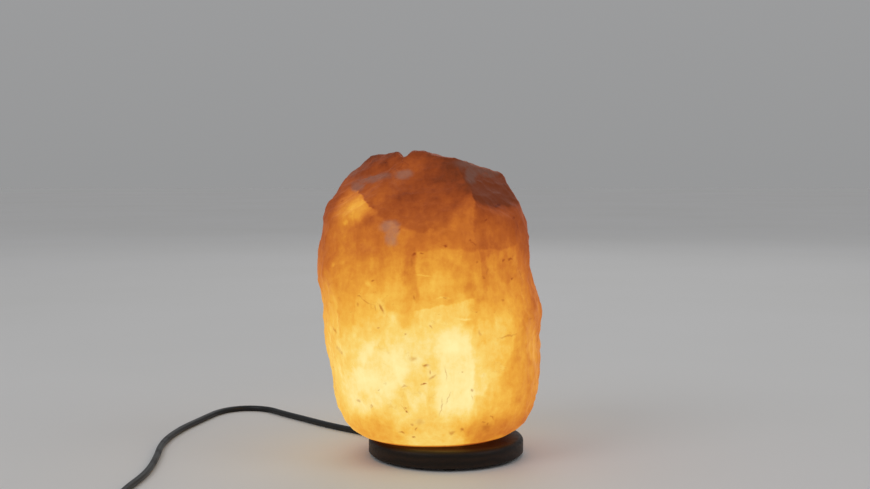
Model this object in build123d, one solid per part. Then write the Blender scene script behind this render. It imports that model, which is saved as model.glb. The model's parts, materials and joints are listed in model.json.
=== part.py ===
from build123d import *
import os
from math import cos, pi, radians, sin, sqrt, tan

# Salt crystal lamp: a rough block of rock salt, bored from below, screwed to a turned wooden base.
# A lampholder with spring clips is pushed up into the base and carries a small screw-in bulb.
# The mains lead leaves through a groove under the base and has an in-line rocker switch and a plug.
# Millimetres. +Z is up, +X is right and -Y is the front of the lamp.
# The origin lies on the table, below the middle of the crystal.

# ---------------------------------------------------------------- sizes of the lamp
fit_gap = 0.3              # clearance between pieces that move past each other
seat_gap = 0.1             # clearance round pieces that are pushed or screwed together
bearing_gap = 0.05         # clearance of a pivot in its hole
hole_end_gap = 1.0         # left at the end of a blind hole
overrun = 1.0              # how far a cut runs past the face that it starts from
merge = 0.1                # how far shapes of one piece run into each other

crystal_width = 166.6
crystal_depth = 134.0
crystal_height = 211.6     # from the base's top face to the peak
bore_radius = 26.0
bore_depth = 114.0
bore_tip = 9.0             # height of the drill's cone at the end of the bore

lamp_axis_x = 11.4         # the base stands this far right of the crystal's middle
base_radius = 57.5
base_thickness = 12.0
base_top_round = 3.6
base_bottom_edge = 1.0
holder_hole_radius = 22.5
groove_width = 6.6
groove_depth = 5.6
groove_angle = 137.0       # the lead leaves behind and to the left

foot_height = 2.0
foot_radius = 5.5
foot_count = 4
foot_inset = 10.5          # of each foot's middle from the base's rim
foot_angle = 182.0         # of the first foot, clear of the groove
foot_edge = 0.5

screw_count = 3
screw_ring_radius = 34.0
screw_angle = 50.0        # of the first screw, clear of the groove
screw_length = 30.0
screw_point = 3.0
screw_shank_radius = 1.9
screw_head_radius = 4.0
screw_head_height = 2.6
screw_slot_width = 1.0
screw_slot_length = 4.8
screw_slot_depth = 1.1
plug_radius = 3.0
plug_length = 24.0
plug_collar_radius = 3.6
plug_collar_height = 1.0

# ---------------------------------------------------------------- sizes of the lampholder
cord_diameter = 4.8
cord_bend = 6.0            # bend of the lead under the holder
nut_bottom = 7.2
nut_height = 2.7
nut_width = 14.0           # across flats
nut_corner = 0.8
nipple_radius = 5.0
nipple_bore = 2.9
clip_count = 3
clip_thickness = 0.5
clip_width = 7.0
clip_height = 24.0         # from the clip plate to the curled end
clip_overhang = 1.0        # of its flat foot beyond the plate
clip_shoulder = 3.0        # height at which it touches the base's hole
clip_waist = 2.4           # reach of its narrowest place beyond the foot
clip_curl = 4.0            # height of the curled end
clip_end = 4.0             # reach of the curled end beyond the foot
clip_bends = (1.0, 1.6, 1.6)
plate_thickness = 0.8
plate_radius = 14.5
rivet_ring_radius = 11.4
rivet_radius = 1.2
rivet_head_radius = 1.9
rivet_head_height = 0.8
holder_radius = 14.0
holder_wall = 2.0
holder_edge = 0.8
cap_height = 12.8
cap_floor = 2.0
grip_length = 3.0
grip_radius = 4.8
core_radius = 0.9
core_spacing = 2.3
core_bend = 1.2
sheath_above_floor = 3.2   # where the sheath ends, above the cap's floor
block_height = 8.0
block_notch_width = 6.0
block_notch_depth = 1.5
ledge_height = 2.0
ledge_width = 2.5
barrel_height = 28.0
barrel_lip = 2.0
terminal_offset = 6.8
terminal_side = 4.0
terminal_height = 4.0
terminal_clearance = 0.6   # above the end of the sheath
terminal_screw_radius = 1.6    # of its head
terminal_screw_height = 1.6
terminal_thread_radius = 0.96
terminal_thread_depth = 1.5
terminal_slot_width = 0.6
terminal_slot_depth = 0.6
sleeve_wall = 0.35
sleeve_height = 18.0
sleeve_flange_width = 1.9
leaf_thickness = 0.4
leaf_width = 4.0
leaf_rise = 2.0
leaf_crown = 1.5           # half the length of the raised middle
leaf_slope = 1.6           # horizontal length of each slope
leaf_free_end = 4.2        # reach of the free end from the middle
leaf_bend = 0.7
leaf_margin = 0.6          # of the leaf beyond its rivet
block_rivet_radius = 1.0

# ---------------------------------------------------------------- sizes of the bulb
bulb_length = 58.0
bulb_radius = 14.0
bulb_widest = 41.0         # height of the widest ring above the tip
bulb_neck_radius = 7.6
glass_wall = 0.7
glass_in_cap = 5.0         # length of the glass neck inside the cap
bulb_shoulder = 1.6        # height of the glass's widening above the cap
bulb_crown = 5.0           # this far below its top the bulb has the next line's share of its width
bulb_crown_share = 0.72
cap_length = 24.5
thread_major_radius = 6.95
thread_depth = 0.8
thread_pitch = 2.822
thread_turns = 5
cap_wall = 0.35
cap_rim = 1.2
thread_root = 0.3          # flat between two ridges
thread_start = 0.6         # place of the first ridge, in turns above the shell's lower edge
cap_insulator_height = 3.6
cap_insulator_edge = 0.8
tip_radius = 2.2
tip_height = 1.4
stem_radius = 1.5
stem_height = 15.0
stem_flare_height = 4.0
stem_flare_edge = 0.8
lead_in_seat = 2.8         # length of each wire inside the stem's tip
lead_in_offset = 0.8       # of each wire from the stem's middle
lead_in_radius = 0.3
lead_in_straight = 4.2     # upright length of each wire
lead_in_height = 9.0       # of its slanted length
lead_in_bend = 1.5
lead_in_spread = 5.0
filament_radius = 0.18
filament_arch = 3.0

# ---------------------------------------------------------------- sizes of the in-line switch
switch_middle = (-106.0, -217.0)
switch_length = 64.0
switch_width = 27.0
switch_height = 17.0
switch_split = 7.4         # height of the joint between the two halves
switch_wall = 1.7
switch_corner = 7.0
switch_edge = 2.2          # rounding of the upper half
switch_bottom_edge = 0.9
cord_height_in_switch = 7.4
sheath_in_switch = 8.0     # how far the lead's sheath runs into the case
switch_cord_run = 5.5      # the lead's straight run outside the case
rocker_length = 21.0
rocker_width = 12.0
rocker_pivot_height = 13.6
rocker_end_height = 4.6    # of the rocker's ends above its pivot
rocker_depth = 2.4         # of the rocker below its pivot
rocker_turn = 16.0         # degrees from on to off
trunnion_radius = 1.5
trunnion_length = 1.6
ear_thickness = 2.2
ear_height = 5.6
bridge_thickness = 0.5
bridge_width = 5.0
bridge_length = 15.0
contact_width = 5.0
contact_thickness = 0.8
contact_foot = 7.4
contact_screw_radius = 1.5
contact_screw_head_radius = 2.6
contact_screw_head_height = 1.6
contact_screw_place = 3.6  # from the contact's post
contact_slot_width = 0.7
clamp_width = 15.0
clamp_length = 4.0
clamp_height = 2.2
clamp_post = 3.0
clamp_margin = 0.5         # from the end of the sheath
clamp_saddle = 6.0         # width of the rest under the sheath
case_screw_radius = 1.3
case_screw_head_radius = 2.5
case_screw_head_bottom = 0.2
case_screw_head_top = 0.9  # above the table
case_screw_slot = 0.6
case_screw_end_wall = 1.0  # of the upper half above the screw's end
case_screw_wall = 1.3
case_screw_x = 17.0
case_screw_y = 9.0
switch_core_radius = 1.0
neutral_core_y = -9.0
neutral_core_height = 4.0
neutral_core_bend = 2.0
live_core_bend = 1.6
core_run = 3.0             # straight length of each core at its end
neutral_core_slant = 10.0  # from the sheath's end to the core's low stretch

# ---------------------------------------------------------------- sizes of the plug
plug_middle_x = 62.0
plug_cord_end_y = -189.0   # where the lead enters the strain relief
plug_cord_run = 10.5       # the lead's straight run before it
plug_width = 35.3
plug_thickness = 13.7
plug_body_length = 36.0
plug_neck_width = 14.0
plug_shoulder_width = 25.4
plug_shoulder = 22.3       # from the plug's face
plug_waist = 10.8          # length of the straight sides
plug_corner = 2.4
plug_edge = 2.0
pin_spacing = 18.6
pin_radius = 2.0
pin_length = 19.0
pin_root = 8.0             # length of each pin inside the body
pin_tip = 0.8
sleeve_length = 10.0
sleeve_radius = 1.8
sleeved_pin_radius = 1.33  # of each pin inside its sleeve and inside the body
relief_length = 24.0
relief_radius = 4.6
relief_tip_radius = 3.3
relief_rings = 5
relief_ring_width = 1.5
relief_ring_depth = 0.8

# ---------------------------------------------------------------- the coil that is put away
coil_middle = (0.0, -181.0)
coil_outer_radius = 35.5   # of the lead's centre line where the coil starts
coil_gap = 0.65            # between neighbouring turns
turns_inward = 2.5
turns_climbing = 0.5
turns_outward = 2.25
coil_run = 10.0            # the lead's straight run beside each end of the coil

# ---------------------------------------------------------------- heights that follow
cord_radius = cord_diameter / 2
base_bottom = foot_height
foot_ring_radius = base_radius - foot_inset
base_top = base_bottom + base_thickness
plate_bottom = nut_bottom + nut_height + clip_thickness
cap_bottom = plate_bottom + plate_thickness
cap_floor_top = cap_bottom + cap_floor
cap_top = cap_bottom + cap_height
sheath_end = cap_floor_top + sheath_above_floor
terminal_bottom = sheath_end + terminal_clearance
block_bottom = terminal_bottom + terminal_height
block_top = block_bottom + block_height
barrel_top = cap_top + barrel_height
leaf_top = block_top + leaf_thickness + leaf_rise
bulb_tip = leaf_top + fit_gap
stem_top = bulb_tip + cap_length - glass_in_cap + stem_height
lead_in_low = stem_top - lead_in_seat
lead_in_top = lead_in_low + lead_in_straight + lead_in_height
sleeve_radius_inside = thread_major_radius + fit_gap
block_radius = holder_radius - holder_wall - fit_gap
case_screw_top = switch_height - switch_wall - case_screw_end_wall
live_rivet_x = sleeve_radius_inside - block_rivet_radius - leaf_margin
neutral_rivet_x = sleeve_radius_inside + sleeve_flange_width / 2 + seat_gap

lamp_axis = Pos(lamp_axis_x, 0, 0)


def ring(outer, inner, low, high):
    """A plain tube round the Z axis."""
    height = high - low
    middle = (low + high) / 2
    return Pos(0, 0, middle) * (Cylinder(outer, height) - Cylinder(inner, height + overrun))


def rod(radius, low, high, x=0.0, y=0.0):
    """An upright cylinder."""
    return Pos(x, y, (low + high) / 2) * Cylinder(radius, high - low)


def block(size_x, size_y, low, high, x=0.0, y=0.0):
    """An upright box."""
    return Pos(x, y, (low + high) / 2) * Box(size_x, size_y, high - low)


def turned(*corners):
    """A body of revolution from corners (radius, height)."""
    return revolve(Plane.XZ * make_face(Polyline(*corners, close=True)), Axis.Z)


def around(count, radius, start):
    """Places on a circle, each turned to face outwards."""
    return [Rot(0, 0, start + 360 * i / count) * Pos(radius, 0, 0) for i in range(count)]


# ================================================================ crystal
# Each line: height, then how far the block reaches to the left, right, front and back.
# Heights are shares of crystal_height, reaches are shares of half the width or depth.
crystal_sections = [
    (0.000, 0.46, 0.52, 0.60, 0.66),
    (0.020, 0.63, 0.69, 0.74, 0.78),
    (0.050, 0.73, 0.81, 0.83, 0.85),
    (0.105, 0.81, 0.90, 0.91, 0.92),
    (0.210, 0.875, 0.965, 0.965, 0.96),
    (0.315, 0.93, 0.97, 0.985, 0.985),
    (0.420, 0.955, 0.99, 0.995, 0.995),
    (0.505, 0.975, 0.94, 0.98, 0.995),
    (0.590, 0.99, 0.875, 0.97, 0.98),
    (0.665, 0.97, 0.852, 0.96, 0.96),
    (0.760, 0.935, 0.82, 0.93, 0.93),
    (0.850, 0.88, 0.77, 0.88, 0.89),
    (1.060, 0.80, 0.68, 0.80, 0.80),
]
outline_points = 16
corner_power = 2.5         # 2 is an ellipse, more is squarer
lump_size = 0.035
bottom_lump_fade = 0.15

# Flat breaks at the top: a point on the break, as shares of half width, half depth and height,
# then the side it faces (degrees from +X towards the back) and how steeply it looks up.
peak = (-0.067, -0.12, 0.997)
breaks = [
    ((-0.745, 0.00, 0.930), 176, 27),
    ((-0.724, 0.07, 0.967), 170, 47),
    ((-0.552, 0.15, 0.990), 160, 78),
    ((-0.372, 0.27, 0.985), 100, 84),
    (peak, 12, 75),
    ((0.480, 0.00, 0.957), 10, 77),
    ((0.650, 0.00, 0.912), -5, 37),
    ((0.744, 0.00, 0.841), 3, 27),
    (peak, -97, 46),
    ((0.185, -0.32, 0.966), -40, 46),
    ((-0.223, -0.12, 0.988), -140, 50),
    ((0.000, 0.34, 0.990), 84, 50),
    ((0.440, 0.48, 0.945), 45, 42),
    ((-0.560, 0.48, 0.978), 132, 45),
]
# Clefts part a lump at the back left from the peak: where each one's lowest line starts and ends.
clefts = [
    ((-0.936, 0.16, 0.872), (-0.430, -0.10, 0.897)),
    ((-0.480, -0.09, 0.889), (-0.216, -0.16, 0.950)),
    ((-0.234, -0.21, 0.970), (-0.252, 0.75, 0.956)),
]
# A cleft's walls this far above its lowest line, and how far each one has drawn back there.
cleft_rise = 40.0
gentle_wall = 40.0
steep_wall = 22.0


def crystal_outline(section):
    """One closed cross-section of the rough block."""
    share, left, right, front, back = section
    height = base_top + share * crystal_height
    fade = min(1.0, share / bottom_lump_fade)
    points = []
    for i in range(outline_points):
        turn = 2 * pi * i / outline_points
        side_x = (right if cos(turn) > 0 else left) * crystal_width / 2
        side_y = (back if sin(turn) > 0 else front) * crystal_depth / 2
        x = side_x * abs(cos(turn)) ** (2 / corner_power) * (1 if cos(turn) > 0 else -1)
        y = side_y * abs(sin(turn)) ** (2 / corner_power) * (1 if sin(turn) > 0 else -1)
        lump = 1 - lump_size * fade * abs(sin(2 * turn)) * (1 + sin(5 * turn + 9 * share))
        points.append((x * lump, y * lump, height))
    return make_face(Spline(*points, periodic=True))


def crystal_point(shares):
    """A place given as shares of half width, half depth and height."""
    return Vector(shares[0] * crystal_width / 2, shares[1] * crystal_depth / 2,
                  base_top + shares[2] * crystal_height)


def broken_off(shares, facing, looking_up):
    """The half space beyond one flat break."""
    normal = Vector(cos(radians(facing)) * cos(radians(looking_up)),
                    sin(radians(facing)) * cos(radians(looking_up)), sin(radians(looking_up)))
    side = 3 * crystal_height
    return Plane(crystal_point(shares), z_dir=normal) * Pos(0, 0, side / 2) * Box(side, side, side)


def make_cleft(start, end):
    """A wedge along the line from start to end, opening upwards."""
    along = (end - start).normalized()
    across = Vector(0, 0, 1).cross(along).normalized()
    wedge = make_face(Polyline((-gentle_wall, cleft_rise), (0, 0), (steep_wall, cleft_rise), close=True))
    return extrude(Plane(start, x_dir=across, z_dir=along) * wedge, (end - start).length)


def make_crystal():
    crystal = loft([crystal_outline(section) for section in crystal_sections])
    for shares, facing, looking_up in breaks:
        crystal -= broken_off(shares, facing, looking_up)
    for start, end in clefts:
        crystal -= make_cleft(crystal_point(start), crystal_point(end))
    bore = turned((0, base_top - overrun), (bore_radius, base_top - overrun),
                  (bore_radius, base_top + bore_depth - bore_tip), (0, base_top + bore_depth))
    crystal -= lamp_axis * bore
    for place in around(screw_count, screw_ring_radius, screw_angle):
        crystal -= lamp_axis * place * rod(plug_radius + seat_gap, base_top - overrun,
                                           base_top + plug_length + hole_end_gap)
        crystal -= lamp_axis * place * rod(plug_collar_radius + seat_gap, base_top - overrun,
                                           base_top + plug_collar_height)
    return crystal


# ================================================================ base, screws and feet
def make_base():
    inner = holder_hole_radius
    base = ring(base_radius, inner, base_bottom, base_top)
    rims = base.edges().filter_by(GeomType.CIRCLE).filter_by(lambda e: e.radius > inner + 1)
    rims = rims.sort_by(Axis.Z)
    base = fillet(rims[-1], min(base_top_round, base_thickness - base_bottom_edge - 1))
    rims = base.edges().filter_by(GeomType.CIRCLE).filter_by(lambda e: e.radius > base_radius - 0.1)
    base = chamfer(rims.sort_by(Axis.Z)[0], base_bottom_edge)
    groove = block(base_radius * 2, groove_width, base_bottom - overrun, base_bottom + groove_depth,
                   x=base_radius)
    base -= Rot(0, 0, groove_angle) * groove
    for place in around(screw_count, screw_ring_radius, screw_angle):
        base -= place * rod(screw_shank_radius + seat_gap, base_bottom - overrun, base_top + overrun)
        base -= place * countersink(seat_gap)
    return base


def countersink(extra):
    """The cone of a countersunk head whose face is flush with the base's underside."""
    wide = screw_head_radius + extra
    narrow = screw_shank_radius + extra
    return turned((0, base_bottom), (wide, base_bottom), (narrow, base_bottom + screw_head_height),
                  (0, base_bottom + screw_head_height))


def make_base_screw():
    shank_end = base_bottom + screw_length - screw_point
    screw = countersink(0) + rod(screw_shank_radius, base_bottom + overrun, shank_end)
    screw += turned((0, shank_end), (screw_shank_radius, shank_end), (0, base_bottom + screw_length))
    for turn in (0, 90):
        screw -= Rot(0, 0, turn) * block(screw_slot_length, screw_slot_width,
                                         base_bottom - overrun, base_bottom + screw_slot_depth)
    return screw


def make_wall_plug():
    plug = rod(plug_radius, base_top, base_top + plug_length)
    plug += rod(plug_collar_radius, base_top, base_top + plug_collar_height)
    hollow = rod(screw_shank_radius + bearing_gap, base_top - overrun,
                 base_bottom + screw_length + hole_end_gap)
    return plug - hollow


def make_foot():
    foot = rod(foot_radius, 0, foot_height)
    return chamfer(foot.edges().sort_by(Axis.Z)[0], foot_edge)


# ================================================================ lampholder
def make_nut():
    nut = extrude(Plane.XY.offset(nut_bottom) * RegularPolygon(nut_width / 2, 6, major_radius=False),
                  nut_height)
    corner_reach = nut_width / sqrt(3)
    corners = turned((0, nut_bottom), (nut_width / 2, nut_bottom),
                     (corner_reach, nut_bottom + nut_corner),
                     (corner_reach, nut_bottom + nut_height), (0, nut_bottom + nut_height))
    return (nut & corners) - rod(nipple_radius + bearing_gap, nut_bottom - overrun,
                                 nut_bottom + nut_height + overrun)


def make_nipple():
    return ring(nipple_radius, nipple_bore, nut_bottom, cap_floor_top)


def make_clip_plate():
    plate = ring(plate_radius, nipple_radius + seat_gap, plate_bottom, cap_bottom)
    for place in around(clip_count, rivet_ring_radius, screw_angle):
        plate -= place * rod(rivet_radius + bearing_gap, plate_bottom - overrun, cap_bottom + overrun)
    return plate


def make_clip():
    """One sprung wing, in the XZ plane, pressed in as it is inside the base's hole."""
    corner_reach = holder_hole_radius - fit_gap
    reach = sqrt(corner_reach ** 2 - (clip_width / 2) ** 2) - clip_thickness / 2
    level = plate_bottom - clip_thickness / 2
    foot_end = plate_radius + clip_overhang
    inner_end = nipple_radius + nut_width / 4
    path = FilletPolyline((inner_end, level), (foot_end, level), (reach, level + clip_shoulder),
                          (foot_end + clip_waist, level + clip_height - clip_curl),
                          (foot_end + clip_end, level + clip_height), radius=list(clip_bends))
    strip = offset(Wire(path.edges()), clip_thickness / 2, side=Side.BOTH)
    clip = extrude(Plane.XZ * make_face(strip), clip_width / 2, both=True)
    return clip - rod(rivet_radius + bearing_gap, level - overrun, level + overrun, x=rivet_ring_radius)


def make_clip_rivet():
    low = plate_bottom - clip_thickness
    rivet = rod(rivet_radius, low, cap_bottom, x=rivet_ring_radius)
    head = Pos(rivet_ring_radius, 0, 0) * turned(
        (0, low - rivet_head_height), (rivet_head_radius * 0.6, low - rivet_head_height),
        (rivet_head_radius, low - rivet_head_height / 3), (rivet_head_radius, low), (0, low))
    return rivet + head


def make_holder_cap():
    inside = holder_radius - holder_wall
    cap = rod(holder_radius, cap_bottom, cap_top)
    cap = chamfer(cap.edges().sort_by(Axis.Z)[0], holder_edge)
    cap -= rod(inside - ledge_width, cap_floor_top, cap_top + overrun)
    cap -= rod(inside, cap_floor_top, block_bottom - ledge_height)
    cap -= rod(inside, block_bottom, cap_top + overrun)
    return cap - rod(nipple_radius + bearing_gap, cap_bottom - overrun, cap_floor_top + overrun)


def make_holder_barrel():
    inside = holder_radius - holder_wall
    barrel = ring(holder_radius, inside, cap_top, barrel_top)
    barrel = chamfer(barrel.edges().group_by(Axis.Z)[-1].sort_by(SortBy.LENGTH)[-1], holder_edge)
    lip_inside = sleeve_radius_inside + sleeve_wall + seat_gap
    return barrel + ring(inside + 0.5, lip_inside, barrel_top - barrel_lip, barrel_top)


def make_contact_block():
    body = rod(block_radius, block_bottom, block_top)
    for rivet_x in (live_rivet_x, -neutral_rivet_x):
        body -= rod(block_rivet_radius + bearing_gap, block_bottom - overrun, block_top + overrun,
                    x=rivet_x)
    for side in (-1, 1):
        body -= block(block_notch_width, 2 * block_notch_depth,
                      block_bottom - overrun, block_top + overrun,
                      y=side * block_radius)
    return body


def make_sleeve():
    inside = sleeve_radius_inside
    outside = inside + sleeve_wall
    sleeve = ring(outside, inside, block_top, block_top + sleeve_height)
    flange = ring(inside + sleeve_flange_width, inside, block_top, block_top + sleeve_wall)
    sleeve = sleeve + flange
    return sleeve - rod(block_rivet_radius + bearing_gap, block_top - overrun, block_top + sleeve_wall,
                        x=-neutral_rivet_x)


def make_centre_contact():
    low = block_top + leaf_thickness / 2
    top = leaf_top - leaf_thickness / 2
    inner = sleeve_radius_inside - seat_gap
    foot_end = sqrt(inner ** 2 - (leaf_width / 2) ** 2)
    path = FilletPolyline((foot_end, low), (leaf_crown + leaf_slope, low), (leaf_crown, top),
                          (-leaf_crown, top), (-leaf_free_end, low + leaf_thickness), radius=leaf_bend)
    strip = offset(Wire(path.edges()), leaf_thickness / 2, side=Side.BOTH)
    leaf = extrude(Plane.XZ * make_face(strip), leaf_width / 2, both=True)
    return leaf - rod(block_rivet_radius + bearing_gap, block_top - overrun, block_top + overrun,
                      x=live_rivet_x)


def make_block_rivets():
    live_top = block_top + leaf_thickness
    neutral_top = block_top + sleeve_wall
    live = rod(block_rivet_radius, block_bottom, live_top, x=live_rivet_x)
    neutral = rod(block_rivet_radius, block_bottom, neutral_top, x=-neutral_rivet_x)
    return [live, neutral]


def make_terminal(side):
    body = block(terminal_side, terminal_side, terminal_bottom, block_bottom, x=side * terminal_offset)
    return body - rod(terminal_thread_radius, terminal_bottom - overrun,
                      terminal_bottom + terminal_thread_depth, x=side * terminal_offset)


def make_terminal_screw(side):
    x = side * terminal_offset
    screw = rod(terminal_screw_radius, terminal_bottom - terminal_screw_height, terminal_bottom, x=x)
    screw += rod(terminal_thread_radius - bearing_gap, terminal_bottom - overrun,
                 terminal_bottom + terminal_thread_depth - seat_gap, x=x)
    head_low = terminal_bottom - terminal_screw_height
    return screw - block(2 * terminal_screw_radius + overrun, terminal_slot_width, head_low - overrun,
                         head_low + terminal_slot_depth, x=x)


def make_holder_core(side):
    """One insulated core from the end of the sheath to its terminal."""
    start = (side * core_spacing / 2, 0, sheath_end)
    bend = (side * core_spacing / 2, 0, terminal_bottom + terminal_height / 2)
    end = (side * (terminal_offset - terminal_side / 2), 0, terminal_bottom + terminal_height / 2)
    path = FilletPolyline(start, bend, end, radius=core_bend)
    return tube(path, core_radius)


def make_grip():
    return ring(grip_radius, cord_radius + bearing_gap, cap_floor_top, cap_floor_top + grip_length)


# ================================================================ bulb
def make_tip_contact():
    return turned((0, bulb_tip), (tip_radius * 0.6, bulb_tip), (tip_radius, bulb_tip + tip_height * 0.5),
                  (tip_radius, bulb_tip + tip_height), (0, bulb_tip + tip_height))


def make_cap_insulator():
    low = bulb_tip + tip_height
    top = low + cap_insulator_height
    return turned((0, low), (tip_radius + cap_insulator_edge, low),
                  (thread_major_radius - thread_depth, top - cap_insulator_edge),
                  (thread_major_radius - thread_depth, top), (0, top))


def make_bulb_cap():
    """The threaded shell, with one round ridge for each turn of its thread."""
    low = bulb_tip + tip_height + cap_insulator_height
    top = bulb_tip + cap_length
    core = thread_major_radius - thread_depth
    inside = core - cap_wall
    shell = ring(core, inside, low, top)
    shell += ring(thread_major_radius, inside, top - cap_rim, top)
    ridge_half = (thread_pitch - thread_root) / 2
    ridge_inside = inside + cap_wall / 3
    for i in range(thread_turns):
        middle = low + thread_pitch * (i + thread_start)
        ridge = RadiusArc((core, middle - ridge_half), (core, middle + ridge_half),
                          -(ridge_half ** 2 + thread_depth ** 2) / (2 * thread_depth))
        back = Polyline((core, middle + ridge_half), (ridge_inside, middle + ridge_half),
                        (ridge_inside, middle - ridge_half), (core, middle - ridge_half))
        shell += revolve(Plane.XZ * make_face([ridge, back]), Axis.Z)
    return shell


def make_bulb_glass():
    """The blown envelope, open at its neck."""
    neck_low = bulb_tip + cap_length - glass_in_cap
    neck_top = bulb_tip + cap_length
    core = thread_major_radius - thread_depth - cap_wall - bearing_gap
    widest = bulb_tip + bulb_widest
    top = bulb_tip + bulb_length
    solids = []
    for wall in (0, glass_wall):
        neck = core - wall
        side = bulb_radius - wall
        outline = [
            Line((0, neck_low), (neck, neck_low)),
            Line((neck, neck_low), (neck, neck_top + wall)),
            Spline((neck, neck_top + wall), (bulb_neck_radius - wall, neck_top + bulb_shoulder + wall),
                   (side, widest), tangents=[(0.5, 1), (0, 1)]),
            Spline((side, widest), (bulb_radius * bulb_crown_share - wall, top - bulb_crown - wall),
                   (0, top - wall), tangents=[(0, 1), (-1, 0)]),
            Line((0, top - wall), (0, neck_low)),
        ]
        solids.append(revolve(Plane.XZ * make_face(outline), Axis.Z))
    return solids[0] - solids[1]


def make_stem():
    low = bulb_tip + cap_length - glass_in_cap
    core = thread_major_radius - thread_depth - cap_wall - glass_wall - 2 * bearing_gap
    flare_top = low + stem_flare_height
    flare = turned((0, low), (core, low), (core, low + stem_flare_edge), (stem_radius, flare_top),
                   (0, flare_top))
    stem = flare + rod(stem_radius, flare_top - overrun, stem_top)
    for side in (-1, 1):
        stem -= rod(lead_in_radius + bearing_gap, lead_in_low - seat_gap, stem_top + overrun,
                    x=side * lead_in_offset)
    return stem


def make_lead_in(side):
    x = side * lead_in_offset
    path = FilletPolyline((x, 0, lead_in_low), (x, 0, lead_in_low + lead_in_straight),
                          (side * lead_in_spread, 0, lead_in_top), radius=lead_in_bend)
    return tube(path, lead_in_radius)


def make_filament():
    level = lead_in_top + lead_in_radius + filament_radius + bearing_gap
    path = ThreePointArc((-lead_in_spread, 0, level), (0, 0, level + filament_arch),
                         (lead_in_spread, 0, level))
    return tube(path, filament_radius)


# ================================================================ lead
# The lead's centre line from the rim of the base to the switch, and on to the coil and the plug.
groove_direction = Vector(cos(radians(groove_angle)), sin(radians(groove_angle)))
rim_point = Vector(lamp_axis_x, 0, cord_radius) + groove_direction * base_radius
switch_left = switch_middle[0] - switch_length / 2
switch_right = switch_middle[0] + switch_length / 2
cord_on_floor = cord_radius

lamp_cord_points = [
    rim_point,
    rim_point + groove_direction * 29,
    (-81, 83.5, cord_on_floor),
    (-106, 111, cord_on_floor),
    (-127, 133.5, cord_on_floor),
    (-143, 153.5, cord_on_floor),
    (-165.5, 157.5, cord_on_floor),
    (-183, 143.5, cord_on_floor),
    (-191.5, 112, cord_on_floor),
    (-203, 68, cord_on_floor),
    (-206, 22, cord_on_floor),
    (-199, -25, cord_on_floor),
    (-195.5, -70, cord_on_floor),
    (-200, -112, cord_on_floor),
    (-198.5, -150, cord_on_floor),
    (-192.5, -179, cord_on_floor),
    (-182.5, -198, cord_on_floor),
    (-170, -209.5, 3.4),
    (-157, -215.3, 5.8),
    (switch_left - switch_cord_run, switch_middle[1], cord_height_in_switch),
    (switch_left + sheath_in_switch, switch_middle[1], cord_height_in_switch),
]
switch_to_coil_points = [
    (switch_right - sheath_in_switch, switch_middle[1], cord_height_in_switch),
    (switch_right + switch_cord_run, switch_middle[1], cord_height_in_switch),
    (-56.8, -215.9, 5.9),
    (-46.9, -212.1, 4.2),
    (-39.8, -205.0, 2.8),
]
plug_tail_points = [
    (28, -145.4, 4.4),
    (41, -147.9, 2.6),
    (52, -155, cord_on_floor),
    (59.3, -165.8, 3.6),
    (plug_middle_x, plug_cord_end_y + plug_cord_run, plug_thickness / 2),
    (plug_middle_x, plug_cord_end_y, plug_thickness / 2),
]


def tube(path, radius):
    """A round tube along a path of one or more edges."""
    wire = path if isinstance(path, Wire) else Wire(path.edges())
    section = Plane(wire @ 0, z_dir=wire % 0) * Circle(radius)
    return sweep(section, path=wire)


def cord_route(name, points, share=0.45):
    """Straight runs joined by arcs as large as the runs allow."""
    corners = [Vector(p) for p in points]
    radii = []
    for before, corner, after in zip(corners, corners[1:], corners[2:]):
        arriving = corner - before
        leaving = after - corner
        turn = radians(arriving.get_angle(leaving))
        radii.append(share * min(arriving.length, leaving.length) / tan(turn / 2))
    print(name, "radii", [round(r, 1) for r in radii])
    return FilletPolyline(*corners, radius=radii)


def cord_tube(name, points):
    route = cord_route(name, points)
    length = Wire(route.edges()).length
    solid = tube(route, cord_radius)
    print(name, "length %.1f" % length, "volume / (section x length) %.5f"
          % (solid.volume / (pi * cord_radius ** 2 * length)))
    return solid


def make_cord_in_base():
    top = Vector(lamp_axis_x, 0, sheath_end)
    corner = Vector(lamp_axis_x, 0, cord_radius)
    path = FilletPolyline(top, corner, rim_point, radius=cord_bend)
    print("cord_in_base length %.1f" % Wire(path.edges()).length)
    return tube(path, cord_radius)


def biarc(start, start_heading, end, end_heading):
    """Two arcs that leave start and reach end along the given headings."""
    chord = end - start
    both = start_heading + end_heading
    squeeze = 2 * (1 - start_heading.dot(end_heading))
    reach = (sqrt(chord.dot(both) ** 2 + squeeze * chord.dot(chord)) - chord.dot(both)) / squeeze
    first_corner = start + start_heading * reach
    second_corner = end - end_heading * reach
    middle = (first_corner + second_corner) * 0.5
    return [TangentArc(start, middle, tangent=start_heading),
            TangentArc(middle, end, tangent=second_corner - first_corner)]


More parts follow.
